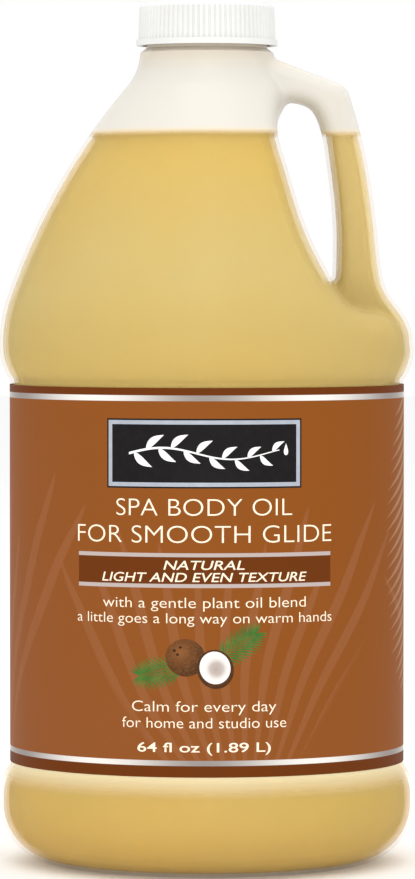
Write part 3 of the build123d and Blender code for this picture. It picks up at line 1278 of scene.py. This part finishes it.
    def picture(self) -> list[Object]:
        """A whole nut and half of one on two palm leaves.

        Returns:
            The picture's pieces.
        """
        green = PrintedInk(
            "green_ink_printed", "#2F6A2A", "#5C8434", roughness=0.45, mottle=2.5 * MM
        ).make()
        husk = PictureInk(
            "husk_brown_printed",
            self.face,
            heart=(-6.6, 64.6),
            radius=8.2,
            stops=((0.0, "#85522A"), (0.35, "#653B19"), (0.75, "#48290D"), (1.0, "#331B07")),
            fleck="#936435",
            fleck_share=0.4,
        ).make()
        rind = PictureInk(
            "rind_brown_printed",
            self.face,
            heart=(3.2, 60.0),
            radius=5.4,
            stops=((0.0, "#5A3416"), (0.8, "#4A2A10"), (1.0, "#3B200B")),
            fleck="#7A4B22",
            fleck_share=0.4,
        ).make()
        flesh = PictureInk(
            "flesh_white_printed",
            self.face,
            heart=(3.5, 59.9),
            radius=4.4,
            stops=(
                (0.0, "#A8988F"),
                (0.4, "#B9ACA4"),
                (0.6, "#D9D3CE"),
                (0.75, "#E6E2DE"),
                (1.0, "#E9E6E2"),
            ),
            fleck="#DAD4CE",
            fleck_share=0.2,
        ).make()
        leaves = self.frond((-5.0, 60.2), 190.0, 14.2, 8.6, 13)
        leaves += self.frond((3.0, 61.4), 35.0, 15.2, 8.6, 14)
        eyes = ((0, 0), (1.7, 0.9), (0.9, -1.1))
        dimples = [self.disc(-8.3 + dx, 65.0 + dz, 0.42, 0.36) for dx, dz in eyes]
        dark = PrintedInk("dark_brown_ink_printed", "#2E1807", "#3B2210").make()
        printed = (
            ("palm_leaves", leaves, 1.0, green),
            ("whole_nut", [self.disc(-5.2, 63.0, 5.6, 5.2, -12)], 1.6, husk),
            ("nut_dimples", dimples, 2.2, dark),
            ("half_nut_rind", [self.disc(3.2, 59.8, 5.1, 5.5, 20)], 2.2, rind),
            ("half_nut_flesh", [self.disc(3.1, 60.2, 4.3, 4.6, 20)], 2.8, flesh),
        )
        return [
            self.shapes(f"label_{name}", loops, self.ink_lift * lift, ink)
            for name, loops, lift, ink in printed
        ]

    def overlap(self, film: Material) -> Object:
        """The label's far end, lapped over its start at the back.

        Args:
            film: the label's own print.

        Returns:
            The lap.
        """
        back = pi * self.face.radius / MM
        low, top = self.face.low_z / MM, self.face.top_z / MM
        corners = [
            (back - self.overlap_half, low),
            (back + self.overlap_half, low),
            (back + self.overlap_half, top),
            (back - self.overlap_half, top),
        ]
        return self.shapes("label_overlap", [corners], self.ink_lift * 3, film)

    def build(self) -> list[Object]:
        """Prints the whole label.

        Returns:
            The pieces.
        """
        film = PrintedFilm(self.face).make()
        dress(self.film, film)
        cream = PrintedInk("cream_ink_printed", "#FBEBD2", "#F1DEC2").make()
        pieces = [self.film, self.overlap(film), *self.plate(), *self.picture()]
        pieces += [self.text(line, cream) for line in TEXT_LINES]
        return pieces


# ---------------------------------------------------------------- studio


@dataclass(frozen=True)
class SoftBox:
    """One soft lamp: where it stands, its side and its power."""

    name: str
    place: tuple[float, float, float]
    side: float
    watts: float


@dataclass
class Studio:
    """A pale floor, an even white surround, soft lamps and the camera."""

    floor_half: float = 6.0
    floor_drop: float = 0.2 * MM
    surround: float = 1.0
    lamps: tuple[SoftBox, ...] = (
        SoftBox("key_softbox", (0.0, -1.25, 1.35), 0.8, 5.0),
        SoftBox("front_softbox", (0.0, -1.75, 0.2), 0.8, 5.0),
        SoftBox("top_softbox", (0.0, 0.1, 1.7), 0.9, 8.0),
    )
    aim: tuple[float, float, float] = (0.0002, 0.0, 0.1222)
    eye: tuple[float, float, float] = (0.0, -1.505, 0.1685)
    lens: float = 213.0
    sensor: float = 36.0

    def build(self) -> None:
        """Sets the scene up round the object."""
        scene = bpy.context.scene
        scene.view_settings.view_transform = "Standard"
        world = bpy.data.worlds.new("studio")
        world.use_nodes = True
        backdrop = world.node_tree.nodes["Background"]
        backdrop.inputs["Color"].default_value = (1.0, 1.0, 1.0, 1.0)
        backdrop.inputs["Strength"].default_value = self.surround
        scene.world = world
        self.lay_floor()
        for lamp in self.lamps:
            self.light(lamp)
        scene.camera = self.camera()

    def lay_floor(self) -> None:
        """Lays the paper floor just under the bottle."""
        half = self.floor_half
        mesh = bpy.data.meshes.new("floor")
        corners = [(-half, -half), (half, -half), (half, half), (-half, half)]
        mesh.from_pydata([(x, y, -self.floor_drop) for x, y in corners], [], [(0, 1, 2, 3)])
        floor = new_object("floor", mesh)
        dress(floor, SeamlessPaper().make())

    def turned(self, place: Vector, target: Vector) -> tuple[float, float, float]:
        """The rotation that points a lamp or camera from one place to another."""
        return (target - place).to_track_quat("-Z", "Y").to_euler()

    def light(self, lamp: SoftBox) -> None:
        """Hangs one square soft lamp, aimed at the middle of the object."""
        data = bpy.data.lights.new(lamp.name, "AREA")
        data.energy, data.size = lamp.watts, lamp.side
        holder = new_object(lamp.name, data)
        holder.location = lamp.place
        holder.rotation_euler = self.turned(holder.location, Vector(self.aim))

    def camera(self) -> Object:
        """Sets up the camera.

        Returns:
            The camera.
        """
        data = bpy.data.cameras.new("camera")
        data.lens, data.sensor_width = self.lens, self.sensor
        holder = new_object("camera", data)
        holder.location = self.eye
        holder.rotation_euler = self.turned(holder.location, Vector(self.aim))
        return holder


def main() -> None:
    """Builds every sub-assembly in order and reports its pieces."""
    logging.basicConfig(level=logging.INFO, format="%(name)s: %(message)s")
    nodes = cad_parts
    low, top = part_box("wrap_label")
    face = LabelSurface(radius=top.x, low_z=low.z, top_z=top.z)
    for assembly in (
        Jug(nodes["jug_shell"], nodes["oil_fill"]),
        Label(nodes["wrap_label"], face),
        Closure(nodes["screw_cap"], nodes["cap_liner"]),
    ):
        for piece in assembly.build():
            LOG.info("%s: %s, %d faces", type(assembly).__name__, piece.name, len(piece.data.polygons))
    Studio().build()


if __name__ == "__main__":
    main()
